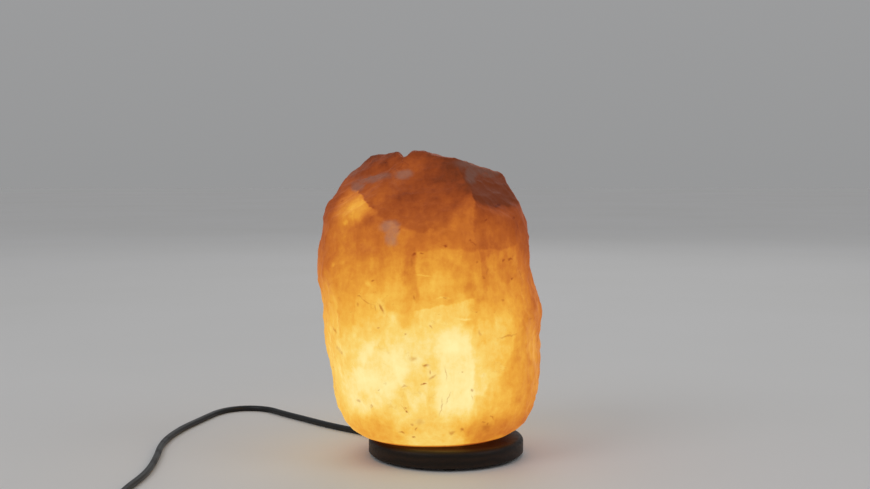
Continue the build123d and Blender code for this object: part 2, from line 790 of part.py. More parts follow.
def coil_path():
    """Clockwise turns that spiral in on the table, climb, and spiral out on top."""
    pitch = cord_diameter + coil_gap
    total = turns_inward + turns_climbing + turns_outward
    innermost = coil_outer_radius - pitch * turns_inward

    def place(turns):
        climb = min(1.0, max(0.0, (turns - turns_inward) / turns_climbing))
        if turns <= turns_inward:
            radius = coil_outer_radius - pitch * turns
            change = -pitch
        elif turns < turns_inward + turns_climbing:
            radius = innermost
            change = 0.0
        else:
            radius = innermost + pitch * (turns - turns_inward - turns_climbing)
            change = pitch
        angle = pi - 2 * pi * turns
        point = Vector(coil_middle[0] + radius * cos(angle), coil_middle[1] + radius * sin(angle),
                       cord_on_floor + pitch * climb)
        heading = Vector(change * cos(angle) + 2 * pi * radius * sin(angle),
                         change * sin(angle) - 2 * pi * radius * cos(angle), 0)
        return point, heading.normalized()

    marks = [i / 2 for i in range(int(total * 2) + 1)]
    if marks[-1] < total:
        marks.append(total)
    edges = []
    for low, high in zip(marks, marks[1:]):
        start, start_heading = place(low)
        end, end_heading = place(high)
        edges += biarc(start, start_heading, end, end_heading)
    first, first_heading = place(0)
    last, last_heading = place(total)
    edges.insert(0, Line(first - first_heading * cord_diameter, first))
    edges.append(Line(last, last + last_heading * cord_diameter))
    return (Wire(edges), first - first_heading * cord_diameter, first_heading,
            last + last_heading * cord_diameter, last_heading)


def least_self_gap(wire):
    """The clear space between turns, measured on points along the centre line."""
    count = 1500
    step = wire.length / count
    skip = int(4 * cord_diameter / step)
    points = [wire @ (i / count) for i in range(count + 1)]
    least = min((points[i] - points[j]).length
                for i in range(0, count + 1, 2) for j in range(i + skip, count + 1, 2))
    return least - cord_diameter


# ================================================================ in-line switch
def switch_case(low, high, inset=0.0):
    """A long rounded block, the outside or the inside of the switch."""
    outline = RectangleRounded(switch_length - 2 * inset, switch_width - 2 * inset, switch_corner - inset)
    return extrude(Plane.XY.offset(low) * outline, high - low)


def cord_hole():
    return Pos(0, 0, cord_height_in_switch) * Rot(0, 90, 0) * Cylinder(cord_radius + seat_gap,
                                                                       switch_length + overrun)


def case_screw_places():
    return [Pos(side * case_screw_x, case_screw_y, 0) for side in (-1, 1)]


def clamp_x(side):
    return side * (switch_length / 2 - sheath_in_switch + clamp_length / 2 + clamp_margin)


def make_switch_lower():
    shell = switch_case(0, switch_split)
    shell = chamfer(shell.faces().sort_by(Axis.Z)[0].edges(), switch_bottom_edge)
    shell -= switch_case(switch_wall, switch_split + overrun, switch_wall)
    for place in case_screw_places():
        shell += place * rod(case_screw_radius + case_screw_wall, switch_wall - merge, switch_split)
        shell -= place * rod(case_screw_radius + bearing_gap, -overrun, switch_split + overrun)
        shell -= place * rod(case_screw_head_radius + bearing_gap, -overrun, case_screw_head_top)
    clamp_low = cord_height_in_switch + cord_radius + bearing_gap
    for side in (-1, 1):
        for across in (-1, 1):
            shell += block(clamp_length, clamp_post, switch_wall - merge, clamp_low, x=clamp_x(side),
                           y=across * (clamp_width - clamp_post) / 2)
        shell += block(clamp_length, clamp_saddle, switch_wall - merge, cord_height_in_switch,
                       x=clamp_x(side))
    for screw_x in contact_screw_xs:
        shell -= rod(contact_screw_radius + bearing_gap, switch_wall / 2, switch_wall + overrun, x=screw_x)
    return shell - cord_hole()


def make_switch_upper():
    shell = switch_case(switch_split, switch_height)
    shell = fillet(shell.faces().sort_by(Axis.Z)[-1].edges(), switch_edge)
    shell -= switch_case(switch_split - overrun, switch_height - switch_wall, switch_wall)
    window_length = 2 * rocker_end_radius() + 2 * fit_gap
    window = rocker_width + 2 * fit_gap
    shell -= block(window_length, window, switch_height - switch_wall - overrun, switch_height + overrun)
    for side in (-1, 1):
        y = side * (rocker_width / 2 + fit_gap + ear_thickness / 2)
        shell += block(ear_height * 2, ear_thickness, rocker_pivot_height - ear_height / 2,
                       switch_height - switch_wall + 0.1, y=y)
    bore_length = rocker_width + 4 * fit_gap + 2 * trunnion_length
    shell -= Pos(0, 0, rocker_pivot_height) * Rot(90, 0, 0) * Cylinder(trunnion_radius + bearing_gap,
                                                                       bore_length)
    screw_end = case_screw_top + fit_gap
    for place in case_screw_places():
        shell += place * rod(case_screw_radius + case_screw_wall, switch_split,
                             switch_height - switch_wall + merge)
        shell -= place * rod(case_screw_radius + bearing_gap, switch_split - overrun, screw_end)
    return shell - cord_hole()


def rocker_end_radius():
    return sqrt((rocker_length / 2) ** 2 + rocker_end_height ** 2)


def at_rest_tilt(solid):
    """Turns a piece of the rocker about its pivot, from level to switched on."""
    pivot = Pos(0, 0, rocker_pivot_height)
    return pivot * Rot(0, -rocker_turn / 2, 0) * pivot.inverse() * solid


def make_rocker():
    radius = rocker_end_radius()
    level = rocker_pivot_height
    end_top = level + rocker_end_height
    middle_top = end_top - radius * tan(radians(rocker_turn / 2))
    profile = Polyline((-radius, level - rocker_depth), (radius, level - rocker_depth),
                       (radius, end_top), (0, middle_top), (-radius, end_top), close=True)
    body = extrude(Plane.XZ * make_face(profile), rocker_width / 2, both=True)
    body &= Pos(0, 0, level) * Rot(90, 0, 0) * Cylinder(radius, rocker_width + overrun)
    trunnions = Cylinder(trunnion_radius, rocker_width + 2 * fit_gap + 2 * trunnion_length)
    return at_rest_tilt(body + Pos(0, 0, level) * Rot(90, 0, 0) * trunnions)


def make_rocker_bridge():
    """The brass strip under the rocker that joins the two contacts when it is switched on."""
    low = rocker_pivot_height - rocker_depth - bridge_thickness
    return at_rest_tilt(block(bridge_length, bridge_width, low, low + bridge_thickness))


# The strip's underside is a line this far below the pivot, tilted by half the rocker's turn.
bridge_drop = rocker_depth + bridge_thickness
half_turn = radians(rocker_turn / 2)


def bridge_height(x):
    """Height of the strip's underside above a place on the case's middle line, when on."""
    return rocker_pivot_height - bridge_drop / cos(half_turn) + x * tan(half_turn)


end_contact_x = -bridge_length / 2 + contact_thickness + fit_gap
contact_xs = [end_contact_x, 0.0]
contact_sides = [-1, 1]
contact_screw_xs = [x + side * contact_screw_place for x, side in zip(contact_xs, contact_sides)]


def make_fixed_contact(x, side):
    """A brass angle on the floor of the case, standing up to just below the strip."""
    top = min(bridge_height(x - contact_thickness / 2), bridge_height(x + contact_thickness / 2))
    post = block(contact_thickness, contact_width, switch_wall, top - seat_gap, x=x)
    foot = block(contact_foot, contact_width, switch_wall, switch_wall + contact_thickness,
                 x=x + side * (contact_foot - contact_thickness) / 2)
    screw_x = x + side * contact_screw_place
    return post + foot - rod(contact_screw_radius + bearing_gap, switch_wall - overrun,
                             switch_wall + contact_thickness + overrun, x=screw_x)


def make_contact_screw(x):
    seat = switch_wall + contact_thickness
    screw = rod(contact_screw_radius, switch_wall / 2, seat, x=x)
    screw += rod(contact_screw_head_radius, seat, seat + contact_screw_head_height, x=x)
    slot_low = seat + contact_screw_head_height * 0.5
    return screw - block(contact_slot_width, 2 * contact_screw_head_radius + overrun, slot_low,
                         slot_low + contact_screw_head_height, x=x)


def make_case_screw(place):
    screw = rod(case_screw_head_radius, case_screw_head_bottom, case_screw_head_top)
    screw += rod(case_screw_radius, case_screw_head_top - merge, case_screw_top)
    screw -= block(2 * case_screw_head_radius + overrun, case_screw_slot, 0, case_screw_head_bottom
                   + (case_screw_head_top - case_screw_head_bottom) / 2)
    return place * screw


def make_cord_clamp(side):
    low = cord_height_in_switch + cord_radius + bearing_gap
    return block(clamp_length, clamp_width, low, low + clamp_height, x=clamp_x(side))


def sheath_x(side):
    return side * (switch_length / 2 - sheath_in_switch)


def make_live_core(side):
    """The core from one end's sheath to the contact on that side."""
    contact = 0 if side < 0 else 1
    end_x = contact_screw_xs[contact] + side * (contact_screw_head_radius + 2 * seat_gap)
    level = switch_wall + contact_thickness + switch_core_radius + bearing_gap
    y = core_spacing / 2
    start_x = sheath_x(side)
    path = FilletPolyline((start_x, y, cord_height_in_switch),
                          (start_x - side * core_run, y, cord_height_in_switch),
                          (end_x + side * core_run, 0, level), (end_x, 0, level), radius=live_core_bend)
    return tube(path, switch_core_radius)


def make_neutral_core():
    y = -core_spacing / 2
    left = sheath_x(-1)
    right = sheath_x(1)
    corners = [(left, y, cord_height_in_switch), (left + core_run, y, cord_height_in_switch),
               (left + neutral_core_slant, neutral_core_y, neutral_core_height),
               (right - neutral_core_slant, neutral_core_y, neutral_core_height),
               (right - core_run, y, cord_height_in_switch), (right, y, cord_height_in_switch)]
    return tube(FilletPolyline(*corners, radius=neutral_core_bend), switch_core_radius)


# ================================================================ plug
plug_neck_y = plug_cord_end_y - relief_length
plug_face_y = plug_neck_y - plug_body_length
plug_level = plug_thickness / 2


def make_plug_body():
    wide = plug_width / 2
    neck = plug_neck_width / 2
    middle = plug_shoulder_width / 2
    shoulder = plug_face_y + plug_shoulder
    waist = plug_face_y + plug_waist
    outline = Polyline((-wide, plug_face_y), (wide, plug_face_y), (wide, waist),
                       (middle, shoulder), (neck, plug_neck_y), (-neck, plug_neck_y),
                       (-middle, shoulder), (-wide, waist), close=True)
    body = extrude(make_face(outline), plug_thickness)
    upright = body.edges().filter_by(Axis.Z)
    body = fillet(upright, plug_corner)
    body = fillet(body.faces().sort_by(Axis.Z)[-1].edges(), plug_edge)
    body = fillet(body.faces().sort_by(Axis.Z)[0].edges(), plug_edge)
    for side in (-1, 1):
        body -= lying(sleeved_pin_radius + bearing_gap, plug_face_y - overrun, plug_face_y + pin_root,
                      side * pin_spacing / 2)
    return Pos(plug_middle_x, 0, 0) * body


def lying(radius, low, high, x=0.0):
    """A cylinder along Y at the height of the plug's middle."""
    return Pos(x, (low + high) / 2, plug_level) * Rot(90, 0, 0) * Cylinder(radius, high - low)


def make_pin(side):
    tip = plug_face_y - pin_length
    pin = lying(pin_radius, tip, plug_face_y - sleeve_length)
    pin = chamfer(pin.edges().sort_by(Axis.Y)[0], pin_tip)
    pin += lying(sleeved_pin_radius, plug_face_y - sleeve_length - overrun, plug_face_y + pin_root)
    return Pos(plug_middle_x + side * pin_spacing / 2, 0, 0) * pin


def make_pin_sleeve(side):
    sleeve = lying(sleeve_radius, plug_face_y - sleeve_length, plug_face_y)
    sleeve -= lying(sleeved_pin_radius + bearing_gap, plug_face_y - sleeve_length - overrun,
                    plug_face_y + overrun)
    return Pos(plug_middle_x + side * pin_spacing / 2, 0, 0) * sleeve


def make_relief():
    """The tapered sleeve where the lead enters the plug, with rings cut round it."""
    relief = turned((0, 0), (relief_radius, 0), (relief_tip_radius, relief_length), (0, relief_length))
    step = relief_length / (relief_rings + 1)
    for i in range(relief_rings):
        middle = step * (i + 1)
        edge = relief_radius - (relief_radius - relief_tip_radius) * middle / relief_length
        relief -= ring(relief_radius + overrun, edge - relief_ring_depth, middle - relief_ring_width / 2,
                       middle + relief_ring_width / 2)
    return Pos(plug_middle_x, plug_neck_y, plug_level) * Rot(-90, 0, 0) * relief


# ================================================================ the pieces, by name
def copies(places, solid):
    return Compound([place * solid for place in places])


def build():
    parts = {}
    on_axis = {}
    screw_places = around(screw_count, screw_ring_radius, screw_angle)
    rivet_places = around(clip_count, 0, screw_angle)

    parts["salt_crystal"] = make_crystal()
    on_axis["wooden_base"] = make_base()
    on_axis["base_screws"] = copies(screw_places, make_base_screw())
    on_axis["wall_plugs"] = copies(screw_places, make_wall_plug())
    for i, place in enumerate(around(foot_count, foot_ring_radius, foot_angle)):
        on_axis["rubber_foot_%d" % (i + 1)] = place * make_foot()

    on_axis["holder_nut"] = make_nut()
    on_axis["holder_nipple"] = make_nipple()
    on_axis["clip_plate"] = make_clip_plate()
    for i, place in enumerate(rivet_places):
        on_axis["spring_clip_%d" % (i + 1)] = place * make_clip()
    on_axis["clip_rivets"] = copies(rivet_places, make_clip_rivet())
    on_axis["holder_cap"] = make_holder_cap()
    on_axis["holder_barrel"] = make_holder_barrel()
    on_axis["cord_grip"] = make_grip()
    on_axis["contact_block"] = make_contact_block()
    on_axis["threaded_sleeve"] = make_sleeve()
    on_axis["centre_contact"] = make_centre_contact()
    on_axis["block_rivets"] = Compound(make_block_rivets())
    on_axis["live_terminal"] = make_terminal(1)
    on_axis["neutral_terminal"] = make_terminal(-1)
    on_axis["terminal_screws"] = Compound([make_terminal_screw(s) for s in (-1, 1)])
    on_axis["live_core"] = make_holder_core(1)
    on_axis["neutral_core"] = make_holder_core(-1)

    on_axis["bulb_tip_contact"] = make_tip_contact()
    on_axis["bulb_cap_insulator"] = make_cap_insulator()
    on_axis["bulb_cap"] = make_bulb_cap()
    on_axis["bulb_glass"] = make_bulb_glass()
    on_axis["bulb_stem"] = make_stem()
    on_axis["bulb_lead_in_wires"] = Compound([make_lead_in(s) for s in (-1, 1)])
    on_axis["bulb_filament"] = make_filament()
    for name, solid in on_axis.items():
        parts[name] = lamp_axis * solid

    parts["cord_in_base"] = make_cord_in_base()
    parts["cord_to_switch"] = cord_tube("cord_to_switch", lamp_cord_points)
    coil_wire, coil_start, start_heading, coil_end, end_heading = coil_path()
    parts["cord_from_switch"] = cord_tube("cord_from_switch", switch_to_coil_points + [
        coil_start - start_heading * coil_run, coil_start])
    parts["cord_coil"] = tube(coil_wire, cord_radius)
    print("cord_coil length %.1f" % coil_wire.length, "volume / (section x length) %.5f"
          % (parts["cord_coil"].volume / (pi * cord_radius ** 2 * coil_wire.length)),
          "least gap to itself %.2f" % least_self_gap(coil_wire))
    parts["cord_to_plug"] = cord_tube("cord_to_plug", [
        coil_end, coil_end + end_heading * coil_run] + plug_tail_points)

    in_switch = {
        "switch_lower_case": make_switch_lower(),
        "switch_upper_case": make_switch_upper(),
        "switch_rocker": make_rocker(),
        "switch_bridge": make_rocker_bridge(),
        "switch_end_contact": make_fixed_contact(contact_xs[0], contact_sides[0]),
        "switch_middle_contact": make_fixed_contact(contact_xs[1], contact_sides[1]),
        "switch_contact_screws": Compound([make_contact_screw(x) for x in contact_screw_xs]),
        "switch_case_screws": Compound([make_case_screw(p) for p in case_screw_places()]),
        "switch_cord_clamps": Compound([make_cord_clamp(s) for s in (-1, 1)]),
        "switch_live_core_in": make_live_core(-1),
        "switch_live_core_out": make_live_core(1),
        "switch_neutral_core": make_neutral_core(),
    }
    for name, solid in in_switch.items():
        parts[name] = Pos(*switch_middle, 0) * solid

    parts["plug_body"] = make_plug_body()
    parts["plug_pins"] = Compound([make_pin(s) for s in (-1, 1)])
    parts["plug_pin_sleeves"] = Compound([make_pin_sleeve(s) for s in (-1, 1)])
    parts["plug_strain_relief"] = make_relief()
    return parts


os.makedirs("parts", exist_ok=True)
for name, solid in build().items():
    export_step(solid, "parts/%s.step" % name)
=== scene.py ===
import json
import math

import bmesh
import bpy
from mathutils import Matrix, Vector, noise


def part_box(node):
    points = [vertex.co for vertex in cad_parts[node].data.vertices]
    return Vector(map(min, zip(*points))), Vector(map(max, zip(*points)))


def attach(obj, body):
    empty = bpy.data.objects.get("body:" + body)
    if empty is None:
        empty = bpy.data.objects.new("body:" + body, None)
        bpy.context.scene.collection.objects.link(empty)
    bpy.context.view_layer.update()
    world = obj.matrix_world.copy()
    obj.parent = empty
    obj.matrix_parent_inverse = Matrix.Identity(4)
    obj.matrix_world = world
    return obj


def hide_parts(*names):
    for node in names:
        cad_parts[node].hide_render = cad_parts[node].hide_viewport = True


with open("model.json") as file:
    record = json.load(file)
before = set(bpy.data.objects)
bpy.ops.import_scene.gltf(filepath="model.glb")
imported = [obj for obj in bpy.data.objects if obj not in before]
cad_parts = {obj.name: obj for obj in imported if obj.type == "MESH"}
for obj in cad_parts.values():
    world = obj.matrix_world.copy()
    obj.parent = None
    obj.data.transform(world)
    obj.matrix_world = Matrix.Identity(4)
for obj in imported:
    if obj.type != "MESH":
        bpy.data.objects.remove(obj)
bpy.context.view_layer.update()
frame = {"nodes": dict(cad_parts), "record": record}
nodes = frame["nodes"]
scene = bpy.context.scene

MM = 0.001

# ---------------------------------------------------------------- sizes read from the frame
base_low, base_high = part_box("wooden_base")
crystal_low, crystal_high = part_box("salt_crystal")
lamp_axis = (base_low + base_high) / 2


def mm(*lengths):
    """Millimetres to metres."""
    return Vector([length * MM for length in lengths])


def srgb(red, green, blue):
    """A display colour, 0 to 255, as linear light."""
    def linear(value):
        share = value / 255
        return share / 12.92 if share <= 0.04045 else ((share + 0.055) / 1.055) ** 2.4
    return (linear(red), linear(green), linear(blue), 1.0)


def add_object(name, data):
    made = bpy.data.objects.new(name, data)
    scene.collection.objects.link(made)
    return made


# ================================================================ camera
photo_width = 870
camera_focal = 1200          # in pixels of the photograph's frame
camera_place = mm(3.2, -884.3, 212.3)
camera_pitch = math.radians(3.64)
sensor_width = 36.0

camera_data = bpy.data.cameras.new("camera")
camera_data.sensor_width = sensor_width
camera_data.lens = sensor_width * camera_focal / photo_width
camera_data.clip_start = 0.01
camera = add_object("camera", camera_data)
camera.location = camera_place
camera.rotation_euler = (math.pi / 2 - camera_pitch, 0, 0)
scene.camera = camera


# ================================================================ mains lead
cord_diameter = 4.8
cord_height = cord_diameter / 2
groove_angle = math.radians(137)
base_radius = (base_high.x - base_low.x) / 2 / MM
groove_way = Vector((math.cos(groove_angle), math.sin(groove_angle), 0))
rim_point = Vector((lamp_axis.x / MM, 0, cord_height)) + groove_way * base_radius

# The same centre line as the model's, in millimetres.
lamp_to_switch = [
    rim_point,
    rim_point + groove_way * 29,
    (-81, 83.5, cord_height),
    (-106, 111, cord_height),
    (-127, 133.5, cord_height),
    (-143, 153.5, cord_height),
    (-165.5, 157.5, cord_height),
    (-183, 143.5, cord_height),
    (-191.5, 112, cord_height),
    (-203, 68, cord_height),
    (-206, 22, cord_height),
    (-199, -25, cord_height),
    (-195.5, -70, cord_height),
    (-200, -112, cord_height),
    (-198.5, -150, cord_height),
    (-192.5, -179, cord_height),
    (-182.5, -198, cord_height),
    (-170, -209.5, 3.4),
    (-157, -215.3, 5.8),
    (-143.5, -217, 7.4),
    (-130, -217, 7.4),
]
switch_to_coil = [
    (-82, -217, 7.4),
    (-68.5, -217, 7.4),
    (-56.8, -215.9, 5.9),
    (-46.9, -212.1, 4.2),
    (-39.8, -205.0, 2.8),
]
coil_to_plug = [
    (28, -145.4, 4.4),
    (41, -147.9, 2.6),
    (52, -155, cord_height),
    (59.3, -165.8, 3.6),
    (62, -178.5, 6.85),
    (62, -189, 6.85),
]

coil_middle = (0.0, -181.0)
coil_outer_radius = 35.5
coil_pitch = 5.45
turns_inward = 2.5
turns_climbing = 0.5
turns_outward = 2.25
coil_run = 10.0
points_per_turn = 24


def coil_place(turns):
    """A point of the coil's centre line and the lead's heading there: in on the table, out on top."""
    climb = min(1.0, max(0.0, (turns - turns_inward) / turns_climbing))
    inner = coil_outer_radius - coil_pitch * turns_inward
    if turns <= turns_inward:
        radius = coil_outer_radius - coil_pitch * turns
        change = -coil_pitch
    elif turns < turns_inward + turns_climbing:
        radius = inner
        change = 0.0
    else:
        radius = inner + coil_pitch * (turns - turns_inward - turns_climbing)
        change = coil_pitch
    angle = math.pi - 2 * math.pi * turns
    out = Vector((math.cos(angle), math.sin(angle), 0))
    onward = Vector((math.sin(angle), -math.cos(angle), 0))
    middle = Vector((*coil_middle, cord_height + coil_pitch * climb))
    return middle, radius, out, (out * change + onward * 2 * math.pi * radius).normalized()


def coil_points():
    """Control points on a slightly larger circle, so that the smooth line keeps the coil's radius."""
    total = turns_inward + turns_climbing + turns_outward
    count = round(total * points_per_turn)
    widening = 1 / math.cos(math.pi / points_per_turn)
    points = []
    for i in range(count + 1):
        middle, radius, out, heading = coil_place(total * i / count)
        points.append(middle + out * radius * (widening if 0 < i < count else 1))
    middle, radius, out, heading = coil_place(0)
    start = middle + out * radius
    before = [start - heading * coil_run, start - heading * cord_diameter]
    middle, radius, out, heading = coil_place(total)
    end = middle + out * radius
    after = [end + heading * cord_diameter, end + heading * coil_run]
    return before + points + after


def make_lead(name, points, rings_per_point):
    """A smooth round cord whose control points are the given route."""
    curve = bpy.data.curves.new(name, "CURVE")
    curve.dimensions = "3D"
    curve.bevel_depth = cord_diameter / 2 * MM
    curve.bevel_resolution = 6
    curve.resolution_u = rings_per_point
    curve.use_fill_caps = True
    spline = curve.splines.new("NURBS")
    spline.points.add(len(points) - 1)
    for control, place in zip(spline.points, points):
        control.co = (*mm(*place), 1.0)
    spline.order_u = 3
    spline.use_endpoint_u = True
    return add_object(name, curve)


lamp_lead = make_lead("lead_lamp_to_switch", lamp_to_switch, 20)
plug_lead = make_lead("lead_switch_to_plug", switch_to_coil + coil_points() + coil_to_plug, 8)


# ================================================================ floor and light
floor_reach = 12.0


def make_floor():
    mesh = bpy.data.meshes.new("floor")
    shape = bmesh.new()
    bmesh.ops.create_grid(shape, x_segments=1, y_segments=1, size=floor_reach)
    shape.to_mesh(mesh)
    shape.free()
    return add_object("floor", mesh)


def make_softbox(name, place, aim, size, power):
    light = bpy.data.lights.new(name, "AREA")
    light.shape = "DISK"
    light.size = size
    light.energy = power
    softbox = add_object(name, light)
    softbox.location = place
    softbox.rotation_euler = (Vector(aim) - Vector(place)).to_track_quat("-Z", "Y").to_euler()


floor = make_floor()
make_softbox("left_softbox", (-1.5, -1.3, 1.7), (0, 0, 0.08), 1.3, 8)
make_softbox("right_softbox", (1.7, -0.7, 1.4), (0, 0, 0.08), 1.2, 4)
make_softbox("back_softbox", (0.3, 1.9, 1.6), (0, 0, 0.1), 1.4, 4)


def make_studio():
    """Even light from all round, a little brighter overhead, so that the floor fades into it."""
    world = bpy.data.worlds.new("studio")
    world.use_nodes = True
    tree = world.node_tree
    place = tree.nodes.new("ShaderNodeTexCoord")
    axes = tree.nodes.new("ShaderNodeSeparateXYZ")
    tone = tree.nodes.new("ShaderNodeValToRGB")
    tone.color_ramp.elements[0].color = (0.312, 0.314, 0.318, 1)
    tone.color_ramp.elements[1].color = (0.43, 0.435, 0.445, 1)
    tree.links.new(place.outputs["Generated"], axes.inputs["Vector"])
    tree.links.new(axes.outputs["Z"], tone.inputs["Fac"])
    tree.links.new(tone.outputs["Color"], tree.nodes["Background"].inputs["Color"])
    return world


scene.world = make_studio()
scene.view_settings.view_transform = "Standard"


# ================================================================ how materials are written
class Recipe:
    """A Principled material in the making, with one short call for each kind of node."""

    def __init__(self, name, finish):
        self.material = bpy.data.materials.new(name)
        self.material.use_nodes = True
        self.tree = self.material.node_tree
        self.shader = self.tree.nodes["Principled BSDF"]
        for socket, value in finish.items():
            self.shader.inputs[socket].default_value = value
        self.place = self.node("TexCoord").outputs["Object"]

    def node(self, kind, inputs=None, **settings):
        made = self.tree.nodes.new("ShaderNode" + kind)
        for name, value in settings.items():
            setattr(made, name, value)
        for name, value in (inputs or {}).items():
            self.feed(made.inputs[name], value)
        return made

    def feed(self, socket, value):
        if isinstance(value, bpy.types.NodeSocket):
            self.tree.links.new(value, socket)
        else:
            socket.default_value = value

    def math(self, operation, first, second):
        return self.node("Math", {0: first, 1: second}, operation=operation).outputs[0]

    def combined(self, operation, values):
        """Joins values one by one as they are made, because a renderer can hold only so many at a time."""
        values = iter(values)
        result = next(values)
        for value in values:
            result = self.math(operation, result, value)
        return result

    def all_of(self, *masks):
        return self.combined("MULTIPLY", masks)

    def any_of(self, masks):
        return self.combined("MAXIMUM", masks)

    def vector(self, operation, first, second=(0, 0, 0)):
        made = self.node("VectorMath", {0: first}, operation=operation)
        if operation == "SCALE":
            self.feed(made.inputs["Scale"], second)
        else:
            self.feed(made.inputs[1], second)
        return made.outputs["Value" if operation in ("LENGTH", "DOT_PRODUCT", "DISTANCE") else "Vector"]

    def axes_of(self, place):
        return self.node("SeparateXYZ", {"Vector": place}).outputs

    def span(self, value, low, high, to_low=0.0, to_high=1.0, smooth=True):
        """Brings a value's range onto another one, and no further. A smooth step ends there by itself."""
        made = self.node("MapRange", {"Value": value, "From Min": low, "From Max": high,
                                      "To Min": to_low, "To Max": to_high},
                         interpolation_type="SMOOTHSTEP" if smooth else "LINEAR", clamp=not smooth)
        return made.outputs["Result"]

    def ramp(self, value, stops):
        made = self.node("ValToRGB", {"Fac": value})
        ramp = made.color_ramp
        while len(ramp.elements) < len(stops):
            ramp.elements.new(1.0)
        for element, (position, colour) in zip(ramp.elements, stops):
            element.position = position
            element.color = colour
        return made.outputs["Color"]

    def mix(self, share, first, second, blend="MIX"):
        made = self.node("Mix", data_type="RGBA", blend_type=blend)
        self.feed(made.inputs[0], share)
        self.feed(made.inputs[6], first)
        self.feed(made.inputs[7], second)
        return made.outputs[2]

    def stretched(self, stretch, turn=(0, 0, 0), shift=(0, 0, 0)):
        made = self.node("Mapping", {"Vector": self.place, "Scale": stretch, "Rotation": turn,
                                     "Location": shift})
        return made.outputs["Vector"]

    def noise(self, scale, detail=3.0, roughness=0.55, place=None, distortion=0.0, output="Fac"):
        made = self.node("TexNoise", {"Vector": place or self.place, "Scale": scale, "Detail": detail,
                                      "Roughness": roughness, "Distortion": distortion})
        return made.outputs[output]

    def cells(self, scale, place=None, feature="F1"):
        return self.node("TexVoronoi", {"Vector": place or self.place, "Scale": scale},
                         feature=feature).outputs

    def bump(self, height, distance, strength=1.0):
        """Adds a bump to those already there. The distance is in metres."""
        made = self.node("Bump", {"Height": height, "Distance": distance, "Strength": strength})
        socket = self.shader.inputs["Normal"]
        if socket.links:
            self.tree.links.new(socket.links[0].from_socket, made.inputs["Normal"])
        self.tree.links.new(made.outputs["Normal"], socket)

    def set(self, socket, value):
        self.feed(self.shader.inputs[socket], value)


# ================================================================ rock salt
# The glow's colour by how deep in the salt the light starts, from the palest to the darkest.
glow_colours = [
    (252, 240, 168),
    (251, 230, 152),
    (247, 211, 110),
    (241, 187, 75),
    (230, 162, 56),
    (212, 134, 44),
    (192, 108, 37),
    (168, 86, 30),
    (145, 67, 23),
    (121, 51, 17),
    (88, 35, 12),
]
glow_middle = mm(-3, 0, 72)
glow_nearest = 47.6 * MM      # the palest colour is this far from the glow's middle
glow_step = 11.1 * MM         # and each next colour this much further

# All places in the salt are in millimetres. A change is in steps of glow_colours, and more than 0 is
# duller. Zones are soft ellipsoids: middle, half size and change.
salt_zones = [
    ((-35, -60, 73), (17, 40, 20), -1.0),
    ((-11, -62, 66), (8, 40, 14), 0.7),
    ((40, -50, 137), (24, 40, 26), 0.8),
    ((-46, -52, 158), (30, 36, 9), 0.4),
    ((-22, -60, 118), (12, 30, 7), 0.5),
    ((-17, -60, 109), (8, 30, 8), 0.5),
    ((-44, -50, 177), (5, 25, 5), 0.7),
    ((-34, -50, 35), (9, 30, 9), 0.5),
    ((46, -35, 196), (20, 40, 14), 1.1),
    ((30, -40, 185), (6, 30, 10), -0.4),
    ((-8, -20, 214), (18, 40, 8), -0.8),
    ((-46, -52, 54), (22, 36, 18), -0.8),
    ((3, -45, 20), (22, 40, 12), -1.1),
    ((44, -40, 28), (20, 40, 13), 0.9),
]
# The clear facet at the top left, and the straight edge at its right.
facet_zones = [
    ((-56, -38, 189), (15, 40, 15), -1.7),
    ((-69, -33, 169), (10, 30, 14), -0.4),
    ((-47, -46, 185), (10, 30, 12), -1.2),
]
# A line goes across the front from one x and z to another, with its area at the left and a soft edge.
facet_edge = ((-44, 188), (-59, 200), 1.6)

# Seams and clear columns on the front: left, right, low and high limit, each with the width of its soft
# edge, and change. The rising ones climb to the right.
seam_rise = 0.19
rising_seams = [
    ((-12, 3), (29, 3), (117, 1.6), (128, 9), 0.6),
    ((-12, 3), (29, 3), (104, 14), (117, 1.6), -0.3),
]
level_seams = [
    ((-16, 3), (62, 3), (156.5, 2.4), (168, 10), 0.4),
    ((-9, 3), (62, 3), (142, 12), (156.5, 2.4), -0.35),
    ((-18.5, 4), (-9.5, 3), (122, 8), (158, 6), 0.75),
    ((35, 2), (38.5, 2), (122, 8), (160, 6), 0.5),
    ((5, 9), (28.7, 3), (43, 14), (101, 16), -1.1),
]
# The duller ends: axis, where the change is full, where it is gone, and change.
dull_ends = [
    ("Z", 24, 44, 1.0),
    ("X", 78, 46, 1.9),
    ("X", -80, -60, 1.0),
]
underside_change = 4.0
# The front reaches from its nearest skin back to here, full and gone.
front_depth = (-35, -8)

# The dark breaks at the top. The front one is where its lines' areas meet, the right one is all of them.
front_break_lines = [
    ((-19, 168), (6, 168), 3),
    ((6, 168), (31, 196), 6),
    ((-38, 182), (-19, 168), 4),
    ((-9, 211), (-38, 182), 14),
]
front_break_change = 1.2
right_break_lines = [
    ((17, 218), (25, 204), 1.6),
    ((25, 204), (32, 187), 1.6),
    ((32, 187), (32, 182), 2.4),
]
right_break_upper = (191, 180, 1.7)
right_break_lower = (178, 150, 0.7)

# Bruised, frosted skin: middle and half size.
frost_patches = [
    ((-53, 0, 216), (6, 40, 5)),
    ((-60, 0, 210), (6, 40, 5)),
    ((-52, -18, 199), (6, 30, 5)),
    ((-34, -14, 207), (15, 12, 4)),
    ((-47, -16, 205), (14, 20, 4)),
    ((-19, -22, 209), (7, 12, 4)),
    ((-29, -55, 171), (7, 20, 5)),
    ((-27, -55, 166), (5.5, 20, 7)),
    ((27, 0, 215), (12, 40, 4)),
    ((29, -15, 208), (5, 40, 7)),
    ((42, -5, 211), (13, 40, 4)),
]
frost_glow = {"Saturation": 0.87, "Value": 0.74}
frost_share = 0.6

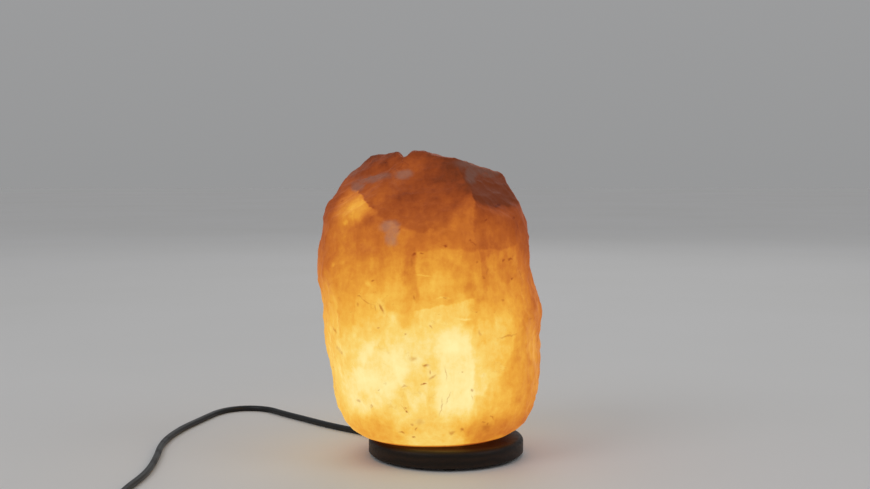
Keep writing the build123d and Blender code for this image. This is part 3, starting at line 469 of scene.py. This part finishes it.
# Painted glints: small bright dashes and spots of painted highlight in the glow near the front: x, z, half
# length, half width and tilt in degrees.
painted_glints = [
    (-5, 139, 5.5, 0.7, 0),
    (9, 123, 5.0, 0.7, 5),
    (24, 109, 5.0, 0.9, -4),
    (-60, 174, 1.5, 1.7, 0),
    (-69, 144, 2.0, 1.6, 0),
    (-44, 132, 1.5, 2.0, 0),
    (-40, 205, 9.0, 0.8, 22),
]
# how much brighter the glow is made at each painted glint
painted_glint_change = -0.9
# Specks and short veins of clay on the front: the same, and how dark.
salt_marks = [
    (-22, 170, 1.4, 0.5, 35, 0.5),
    (47, 186, 2.2, 0.8, 0, 0.55),
    (38, 177, 1.1, 0.8, 80, 0.6),
    (59, 177, 0.9, 0.8, 0, 0.6),
    (62, 171, 2.2, 0.5, -65, 0.5),
    (11, 159, 1.3, 1.0, 10, 0.7),
    (27, 162, 0.9, 0.8, 0, 0.6),
    (29, 160, 3.0, 0.5, -32, 0.4),
    (-11, 153, 1.7, 1.0, 50, 0.75),
    (-6, 154, 1.3, 0.7, 0, 0.65),
    (-13, 148, 2.4, 1.1, 90, 0.3),
    (32, 148, 0.9, 0.7, 0, 0.5),
    (56, 149, 1.2, 1.0, 30, 0.7),
    (52, 148, 0.9, 0.8, 0, 0.6),
    (57, 135, 1.0, 0.9, 0, 0.7),
    (64, 136, 3.0, 0.5, -75, 0.45),
    (71, 130, 1.8, 0.5, 95, 0.5),
    (37, 137, 1.0, 0.9, 0, 0.5),
    (39, 141, 3.0, 0.8, 90, 0.3),
    (-40, 135, 1.5, 0.6, 20, 0.6),
    (10, 123, 2.1, 0.6, 8, 0.5),
    (50, 121, 1.2, 1.0, 0, 0.4),
    (32, 113, 1.0, 0.6, 0, 0.5),
    (-34, 116, 2.7, 1.0, -60, 0.7),
    (-49, 124, 2.2, 0.5, -5, 0.45),
    (-44, 120, 4.8, 0.45, -42, 0.4),
    (-39, 115, 1.8, 0.5, -70, 0.4),
    (-51, 118, 1.6, 0.8, -70, 0.4),
    (-68, 97, 2.0, 1.0, -50, 0.4),
    (-36, 102, 0.9, 0.8, 0, 0.5),
    (-17, 99, 0.7, 0.7, 0, 0.45),
    (-11, 123, 1.6, 0.6, 90, 0.45),
    (0, 103, 1.1, 0.7, -50, 0.5),
    (54, 95.5, 6.5, 0.6, 6, 0.4),
    (34, 100, 1.8, 1.0, 90, 0.35),
    (71, 105, 1.2, 0.9, 0, 0.3),
    (-63, 82, 1.0, 0.9, 0, 0.6),
    (-65, 84, 3.8, 1.0, -55, 0.25),
    (-12, 82, 2.6, 1.7, 0, 0.35),
    (-3, 76, 2.2, 0.9, 4, 0.7),
    (-1, 72, 1.6, 0.5, 95, 0.55),
    (1, 68.5, 2.5, 0.8, 30, 0.45),
    (-5, 64, 1.9, 0.6, 14, 0.9),
    (-18, 62, 2.1, 0.5, 5, 0.4),
    (11, 71, 4.2, 0.5, -80, 0.4),
    (22, 72, 0.7, 0.7, 0, 0.45),
    (29, 58, 0.9, 0.9, 0, 0.6),
    (29, 53, 1.7, 0.4, 90, 0.45),
    (12, 53, 4.2, 0.4, 60, 0.4),
    (7, 47, 6.0, 0.4, 80, 0.4),
    (-35, 59, 0.7, 0.6, 0, 0.45),
    (-51, 48, 1.2, 1.1, 0, 0.45),
    (-41, 45, 0.9, 0.8, 0, 0.4),
    (-16, 44, 1.2, 0.8, -60, 0.9),
    (-17, 47, 0.8, 0.7, 0, 0.65),
    (-18, 46, 4.2, 0.35, -52, 0.35),
    (-7, 37, 3.0, 2.2, 0, 0.25),
    (-12, 34.5, 1.0, 0.8, 0, 0.45),
    (-9, 32, 1.4, 0.8, 70, 0.6),
    (-12, 25, 1.2, 0.8, 0, 0.7),
    (-20, 28, 2.1, 0.7, -30, 0.6),
    (22, 30, 1.7, 1.2, 20, 0.6),
    (15, 28, 1.9, 1.6, 0, 0.45),
    (39, 30, 3.4, 2.5, 70, 0.4),
    (39, 33, 1.7, 0.7, 80, 0.55),
    (37, 35, 1.0, 0.7, 0, 0.5),
    (43, 38, 1.8, 0.45, 100, 0.45),
]


class Salt(Recipe):
    """Rock salt lit from inside: the glow weakens and reddens away from the bulb."""

    def __init__(self):
        super().__init__("rock_salt", {"IOR": 1.54, "Emission Strength": 1.0, "Specular IOR Level": 0.1})
        self.axes = self.axes_of(self.place)
        self.facing = self.axes_of(self.node("Attribute", attribute_name="facing").outputs["Vector"])
        self.fine_wander = self.wandering(110, 4.0, 0.6)
        self.bent = self.moved(self.moved(self.place, self.wandering(30, 4.0), 12), self.fine_wander, 5)
        self.bent_axes = self.axes_of(self.bent)
        self.front = self.fading(self.axes["Y"], *front_depth)
        self.looking_front = self.span(self.facing["Y"], -0.5, -0.2, 1.0, 0.0)
        self.flat_place = self.vector("MULTIPLY", self.moved(self.place, self.fine_wander, 7), (1, 0, 1))
        self.clouds = self.noise(34, 6.0, 0.62, place=self.stretched((1.0, 1.0, 0.8)))
        self.threads = self.noise(60, 5.0, 0.7, place=self.stretched((2.6, 2.6, 0.7), turn=(0.2, 0.35, 0)))
        self.grain = self.noise(210, 4.0, 0.65)
        distance = self.vector("DISTANCE", self.bent, tuple(glow_middle))
        self.depth = self.math("DIVIDE", self.math("SUBTRACT", distance, glow_nearest), glow_step)

    def wandering(self, scale, detail, roughness=0.55):
        """A way in any direction that changes smoothly from place to place."""
        colour = self.noise(scale, detail, roughness, output="Color")
        return self.vector("SUBTRACT", colour, (0.5, 0.5, 0.5))

    def moved(self, place, way, length):
        return self.vector("ADD", place, self.vector("SCALE", way, length * MM))

    def zone(self, middle, half_size):
        """1 inside a soft ellipsoid."""
        shrink = [1 / (length * MM) for length in half_size]
        away = self.vector("MULTIPLY", self.vector("SUBTRACT", self.bent, tuple(mm(*middle))), shrink)
        return self.span(self.vector("LENGTH", away), 0.55, 1.3, 1.0, 0.0)

    def fading(self, value, full, gone):
        """1 up to one limit and 0 from the other."""
        return self.span(value, min(full, gone) * MM, max(full, gone) * MM,
                         float(full < gone), float(full > gone))

    def between(self, value, low, high):
        """1 between two limits, each given with the width of its soft edge."""
        (low, low_edge), (high, high_edge) = low, high
        return self.all_of(self.fading(value, low + low_edge / 2, low - low_edge / 2),
                           self.fading(value, high - high_edge / 2, high + high_edge / 2))

    def left_of(self, start, end, edge):
        """1 at the left of a line across the front."""
        along = (Vector(end) - Vector(start)).normalized()
        left = Vector((-along.y, 0, along.x))
        line = left.dot(Vector((start[0], 0, start[1])))
        return self.fading(self.vector("DOT_PRODUCT", self.bent, tuple(left)),
                           line + edge / 2, line - edge / 2)

    def mark(self, x, z, half_length, half_width, tilt, strength=1.0):
        """The strength in the middle of a soft, ragged ellipse on the front, and 0 outside."""
        inside = self.node("Mapping", {"Vector": self.flat_place, "Location": tuple(mm(x, 0, z)),
                                       "Rotation": (0, -math.radians(tilt), 0),
                                       "Scale": (half_length * MM, 1, half_width * MM)},
                           vector_type="TEXTURE").outputs["Vector"]
        return self.span(self.vector("LENGTH", inside), 0.1, 1.6, strength, 0.0)

    def deepen(self, change, *masks):
        """Adds a change where all the masks meet."""
        self.depth = self.math("ADD", self.depth, self.math("MULTIPLY", self.all_of(*masks), change))

    def add_zones_and_seams(self):
        for middle, half_size, change in salt_zones:
            self.deepen(change, self.zone(middle, half_size))
        facet = self.left_of(*facet_edge)
        for middle, half_size, change in facet_zones:
            self.deepen(change, self.zone(middle, half_size), facet)
        across, height = self.bent_axes["X"], self.bent_axes["Z"]
        rising = self.math("SUBTRACT", height, self.math("MULTIPLY", across, seam_rise))
        for height_value, seams in ((rising, rising_seams), (height, level_seams)):
            for left, right, low, high, change in seams:
                self.deepen(change, self.between(across, left, right),
                            self.between(height_value, low, high), self.front)
        # painted highlight: the glints brighten the glow in small dashes and spots near the front
        for glint in painted_glints:
            self.deepen(painted_glint_change, self.mark(*glint), self.front)

    def add_ends_and_breaks(self):
        for axis, full, gone, change in dull_ends:
            self.deepen(change, self.fading(self.axes[axis], full, gone))
        self.deepen(underside_change, self.span(self.facing["Z"], -0.95, -0.85, 1.0, 0.0))

        right_break = self.any_of(self.left_of(*line) for line in right_break_lines)
        front_break = self.all_of(*(self.left_of(*line) for line in front_break_lines))
        beside = self.math("SUBTRACT", 1.0, right_break)
        self.deepen(front_break_change, front_break, beside, self.looking_front)
        for (full, gone, change), side in ((right_break_upper, self.looking_front),
                                           (right_break_lower, self.front)):
            self.deepen(change, right_break, self.fading(self.bent_axes["Z"], full, gone), side)

    def add_blocks_and_grain(self):
        block_place = self.vector("MULTIPLY", self.moved(self.place, self.fine_wander, 4), (42, 30, 21))
        blocks = self.node("TexVoronoi", {"Vector": block_place, "Scale": 1.0, "Smoothness": 0.12,
                                          "Randomness": 0.8}, feature="SMOOTH_F1", distance="CHEBYCHEV")
        block_share = self.node("SeparateColor", {"Color": blocks.outputs["Color"]}).outputs[0]
        chipped = self.node("Attribute", attribute_name="chipped").outputs["Fac"]
        # each pattern with the limits of its values and the change at both
        for value, low, high, at_low, at_high in ((block_share, 0.1, 0.9, -0.32, 0.32),
                                                  (self.clouds, 0.3, 0.7, -0.42, 0.42),
                                                  (self.threads, 0.3, 0.7, -0.3, 0.3),
                                                  (self.grain, 0.3, 0.7, -0.35, 0.35),
                                                  (chipped, -0.4, 0.6, 0.22, -0.3)):
            change = self.span(value, low, high, at_low, at_high, smooth=False)
            self.depth = self.math("ADD", self.depth, change)

    def glow(self):
        """The colour by how deep in the salt the light starts."""
        self.add_zones_and_seams()
        self.add_ends_and_breaks()
        self.add_blocks_and_grain()
        last = len(glow_colours) - 1
        return self.ramp(self.math("DIVIDE", self.depth, last), [
            (i / last, srgb(*colour)) for i, colour in enumerate(glow_colours)])

    def marks(self):
        """Specks and veins of clay, small specks everywhere, and hair cracks."""
        placed = self.all_of(self.any_of(self.mark(*mark) for mark in salt_marks), self.front)
        elsewhere = self.span(self.front, 0.0, 1.0, 1.0, 0.3)

        specks = self.cells(130, self.moved(self.place, self.wandering(420, 2.0), 7))
        chosen = self.node("SeparateColor", {"Color": specks["Color"]}).outputs[0]
        small = self.all_of(self.span(specks["Distance"], 0.05, 0.16, 0.55, 0.0),
                            self.span(chosen, 0.56, 0.64), elsewhere)

        edges = self.cells(52, self.moved(self.place, self.fine_wander, 16), feature="DISTANCE_TO_EDGE")
        hairs = self.all_of(self.span(edges["Distance"], 0.0, 0.03, 0.4, 0.0),
                            self.span(self.noise(62, 2.0), 0.58, 0.64), elsewhere)
        return self.any_of((placed, small, hairs))

    def frost(self):
        """Greyish, bruised skin near the top, and fainter scuffs at the left."""
        patches = self.any_of(self.zone(middle, half_size) for middle, half_size in frost_patches)
        patches = self.all_of(patches, self.span(self.threads, 0.3, 0.5, 0.45, 1.0),
                              self.span(self.clouds, 0.32, 0.5, 0.4, 1.0))
        scuffs = self.noise(46, 5.0, 0.62, distortion=0.6)
        scuffs = self.all_of(self.span(scuffs, 0.58, 0.7, 0.0, 0.22), self.fading(self.axes["Z"], 215, 175),
                             self.fading(self.axes["X"], 18, 26))
        return self.any_of((patches, scuffs))


def rock_salt():
    r = Salt()
    marks = r.marks()
    frost = r.frost()
    glow = r.glow()
    glow = r.mix(marks, glow, r.mix(1.0, glow, srgb(178, 104, 70), "MULTIPLY"))
    frosted = r.node("HueSaturation", {"Color": glow, **frost_glow}).outputs["Color"]
    r.set("Emission Color", r.mix(frost, glow, frosted))

    skin = r.ramp(r.clouds, [(0.3, srgb(72, 34, 15)), (0.7, srgb(90, 46, 22))])
    skin = r.mix(marks, skin, srgb(50, 28, 20))
    r.set("Base Color", r.mix(r.math("MULTIPLY", frost, frost_share), skin, srgb(116, 94, 84)))
    dull = r.math("ADD", r.clouds, r.math("MULTIPLY", frost, 0.3))
    r.set("Roughness", r.span(dull, 0.3, 0.9, 0.42, 0.75))
    r.bump(r.grain, 0.0006, 0.6)
    r.bump(r.noise(800, 2.0, 0.5), 0.0002, 0.5)
    return r.material


salt_voxel = 1.6 * MM
dents = [(13.0 * MM, 0.6), (5.46 * MM, 0.24)]      # width of the dents, and their share of the depth
dent_reach = 0.75              # of a dent's hollow, in its width
grain_width = 3.4 * MM
grain_share = 0.16
chip_wander_width = 9 * MM
chip_wander = 3 * MM
chip_depth = 2.2 * MM
chip_middle = 0.42             # the skin's mean, which stays where the model's faces are
chip_seed = 4                  # the chips are the same in every run
skin_smoothings = 3
bore_clearance = 27.5 * MM     # no chips this near the lamp's axis,
bore_height = 116.0 * MM       # up to here over the crystal's bottom,
bottom_clearance = 1.5 * MM    # nor this near the bottom itself
bottom_fade = 14.0 * MM


def make_crystal():
    """The model's crystal with an even skin and a chipped surface, inside the same box."""
    noise.seed_set(chip_seed)
    mesh = nodes["salt_crystal"].data.copy()
    rough = add_object("rough_salt", mesh)
    shape = bmesh.new()
    shape.from_mesh(mesh)
    bmesh.ops.remove_doubles(shape, verts=shape.verts, dist=0.01 * MM)
    shape.to_mesh(mesh)
    shape.free()
    even = rough.modifiers.new("even_skin", "REMESH")
    even.mode = "VOXEL"
    even.voxel_size = salt_voxel
    skin = bpy.data.meshes.new_from_object(rough.evaluated_get(bpy.context.evaluated_depsgraph_get()))
    bpy.data.objects.remove(rough)

    shape = bmesh.new()
    shape.from_mesh(skin)
    for i in range(skin_smoothings):
        bmesh.ops.smooth_vert(shape, verts=shape.verts, factor=0.5, use_axis_x=True, use_axis_y=True,
                              use_axis_z=True)
    shape.normal_update()
    facing = shape.verts.layers.float_vector.new("facing")
    chipped = shape.verts.layers.float.new("chipped")
    for vertex in shape.verts:
        vertex[facing] = vertex.normal
        vertex[chipped] = chip(vertex.co)
    for vertex in shape.verts:
        moved = vertex.co - vertex[facing] * vertex[chipped] * chip_depth
        vertex.co = [min(max(value, low), high)
                     for value, low, high in zip(moved, crystal_low, crystal_high)]
    for face in shape.faces:
        face.smooth = True
    shape.to_mesh(skin)
    shape.free()
    skin.materials.clear()
    return add_object("rough_salt_crystal", skin)


def chip(place):
    """How far one point of the crystal's skin is moved in, or out where it is less than 0."""
    from_axis = (place.xy - lamp_axis.xy).length
    if from_axis < bore_clearance and place.z < crystal_low.z + bore_height:
        return 0.0
    fade = min(1.0, max(0.0, (place.z - crystal_low.z - bottom_clearance) / bottom_fade))
    bent = place + noise.noise_vector(place / chip_wander_width) * chip_wander
    total = grain_share * (0.5 + 0.5 * noise.noise(place / grain_width))
    for width, share in dents:
        distances, centres = noise.voronoi(bent / width)
        total += share * max(0.0, 1 - (distances[0] / dent_reach) ** 2)
    return fade * (total - chip_middle)


# ================================================================ wood, rubber, metal
def dark_wood():
    """Dark stained, satin varnished wood, with its grain along X."""
    r = Recipe("dark_wood", {"Roughness": 0.4, "Specular IOR Level": 0.25})
    along = r.stretched((9, 95, 95))
    fibres = r.noise(6, 5.0, 0.65, place=along, distortion=0.4)
    rings = r.node("TexWave", {"Vector": r.stretched((4, 60, 60), shift=(0, 3, 7)), "Scale": 0.9,
                               "Distortion": 5.0, "Detail": 3.0, "Detail Scale": 1.2},
                   wave_type="RINGS", rings_direction="X").outputs["Fac"]
    tone = r.math("ADD", r.math("MULTIPLY", fibres, 0.7), r.math("MULTIPLY", rings, 0.3))
    r.set("Base Color", r.ramp(tone, [
        (0.2, srgb(19, 13, 10)),
        (0.5, srgb(32, 21, 15)),
        (0.8, srgb(47, 31, 21)),
    ]))
    r.set("Roughness", r.span(fibres, 0.3, 0.7, 0.42, 0.6))
    r.bump(fibres, 0.00025, 0.5)
    return r.material


def foot_rubber():
    r = Recipe("foot_rubber", {"Roughness": 0.8, "Specular IOR Level": 0.3})
    r.set("Base Color", r.ramp(r.noise(300), [(0.3, srgb(24, 24, 25)), (0.7, srgb(38, 38, 39))]))
    r.bump(r.noise(1800, 2.0), 0.0001, 0.6)
    return r.material


def metal(name, dark, light, roughness, scale=220, streak=(1, 1, 1), scratches=0.5):
    """Bare or plated metal: a little stained, with fine scratches."""
    r = Recipe(name, {"Metallic": 1.0, "Roughness": roughness})
    stain = r.noise(scale, 4.0, place=r.stretched(streak))
    r.set("Base Color", r.ramp(stain, [(0.35, dark), (0.65, light)]))
    r.set("Roughness", r.span(r.noise(scale * 3, 3.0, place=r.stretched(streak)), 0.3, 0.7,
                              roughness * 0.75, roughness * 1.35))
    r.bump(r.noise(scale * 9, 2.0, place=r.stretched(streak)), 0.00005, scratches)
    return r.material


def moulded(name, dark, light, roughness, grain=1500, coat=0.0):
    """Moulded plastic with a fine eroded grain."""
    r = Recipe(name, {"Roughness": roughness, "Coat Weight": coat, "Coat Roughness": 0.25})
    r.set("Base Color", r.ramp(r.noise(160, 3.0), [(0.35, dark), (0.65, light)]))
    r.set("Roughness", r.span(r.noise(420, 3.0), 0.3, 0.7, roughness * 0.85, roughness * 1.15))
    r.bump(r.noise(grain, 2.0), 0.00006, 0.6)
    return r.material


def steatite():
    r = Recipe("steatite", {"Roughness": 0.62})
    specks = r.span(r.cells(900)["Distance"], 0.05, 0.2, 0.35, 0.0)
    tone = r.ramp(r.noise(240), [(0.35, srgb(214, 206, 188)), (0.65, srgb(228, 222, 206))])
    r.set("Base Color", r.mix(specks, tone, srgb(150, 138, 118)))
    r.bump(r.noise(1300, 2.0), 0.00008, 0.6)
    return r.material


def lead_sheath():
    """Black flexible sheath: satin, with dull scuffs and a faint ripple."""
    r = Recipe("lead_sheath", {"Roughness": 0.45, "Specular IOR Level": 0.45})
    scuffs = r.span(r.noise(60, 5.0, 0.65), 0.52, 0.66)
    r.set("Base Color", r.mix(scuffs, srgb(17, 17, 18), srgb(34, 33, 33)))
    r.set("Roughness", r.span(scuffs, 0, 1, 0.4, 0.6, smooth=False))
    r.bump(r.noise(420, 3.0), 0.00012, 0.5)
    return r.material


def clear_glass():
    r = Recipe("clear_glass", {"Transmission Weight": 1.0, "Roughness": 0.03, "IOR": 1.47,
                               "Base Color": srgb(255, 244, 226), "Emission Color": srgb(255, 196, 110),
                               "Emission Strength": 0.25})
    r.set("Roughness", r.span(r.noise(90, 3.0), 0.4, 0.7, 0.02, 0.07))
    r.bump(r.noise(40, 2.0), 0.0002, 0.4)
    return r.material


def black_glass():
    r = Recipe("black_glass", {"Roughness": 0.12})
    r.set("Base Color", r.ramp(r.noise(220), [(0.4, srgb(16, 15, 20)), (0.6, srgb(27, 24, 32))]))
    r.bump(r.noise(500, 2.0), 0.00008, 0.4)
    return r.material


def glowing_wire():
    r = Recipe("glowing_wire", {"Metallic": 1.0, "Roughness": 0.4, "Emission Strength": 18.0})
    r.set("Base Color", r.ramp(r.noise(900), [(0.4, srgb(140, 138, 134)), (0.6, srgb(176, 172, 166))]))
    r.set("Emission Color", r.ramp(r.noise(1500), [(0.3, srgb(255, 176, 84)), (0.7, srgb(255, 206, 120))]))
    return r.material


finishes = {
    "dark_wood": dark_wood(),
    "foot_rubber": foot_rubber(),
    "zinc_steel": metal("zinc_steel", srgb(168, 170, 172), srgb(196, 198, 200), 0.32),
    "spring_steel": metal("spring_steel", srgb(150, 152, 156), srgb(182, 184, 188), 0.26,
                          streak=(1, 1, 0.2)),
    "brass_parts": metal("brass_parts", srgb(184, 148, 74), srgb(214, 178, 98), 0.28),
    "solder": metal("solder", srgb(150, 150, 154), srgb(182, 182, 184), 0.36, scale=500),
    "bulb_aluminium": metal("bulb_aluminium", srgb(186, 186, 186), srgb(212, 212, 210), 0.3),
    "pin_brass": metal("pin_brass", srgb(186, 182, 172), srgb(212, 208, 198), 0.16, streak=(1, 0.2, 1)),
    "nickel_wire": metal("nickel_wire", srgb(150, 148, 144), srgb(184, 182, 178), 0.3, scale=900),
    "plug_nylon": moulded("plug_nylon", srgb(150, 150, 148), srgb(170, 170, 166), 0.6),
    "holder_plastic": moulded("holder_plastic", srgb(22, 21, 21), srgb(33, 31, 30), 0.34, coat=0.2),
    "switch_plastic": moulded("switch_plastic", srgb(20, 20, 21), srgb(29, 29, 30), 0.36),
    "plug_pvc": moulded("plug_pvc", srgb(19, 19, 20), srgb(28, 28, 29), 0.48, grain=1100),
    "brown_core": moulded("brown_core", srgb(88, 52, 28), srgb(104, 64, 36), 0.42),
    "blue_core": moulded("blue_core", srgb(34, 76, 140), srgb(46, 92, 160), 0.42),
    "steatite": steatite(),
    "cord_pvc": lead_sheath(),
    "black_glass": black_glass(),
    "bulb_clear_glass": clear_glass(),
    "salt": rock_salt(),
}
hot_filament = glowing_wire()


def paint(piece, material):
    """Gives a node or a new piece its finish."""
    if piece.material_slots:
        for slot in piece.material_slots:
            slot.material = material
    else:
        piece.data.materials.append(material)


def paint_nodes():
    for subpart in frame["record"]["subparts"]:
        paint(nodes[subpart["node"]], finishes[subpart["material_slot"]])
    paint(nodes["bulb_filament"], hot_filament)


def floor_finish():
    """A pale, plain floor with the faintest unevenness."""
    r = Recipe("floor", {"Roughness": 0.6, "Specular IOR Level": 0.2})
    r.set("Base Color", r.ramp(r.noise(1.4, 3.0), [(0.3, srgb(228, 227, 225)), (0.7, srgb(232, 231, 230))]))
    return r.material


paint_nodes()
paint(floor, floor_finish())

# ================================================================ what rides on what
crystal = make_crystal()
paint(crystal, finishes["salt"])
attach(crystal, "crystal_and_base")
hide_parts("salt_crystal")

for lead in (lamp_lead, plug_lead):
    paint(lead, finishes["cord_pvc"])
    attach(lead, "holder_and_lead")
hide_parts("cord_to_switch")
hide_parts("cord_from_switch", "cord_coil", "cord_to_plug")
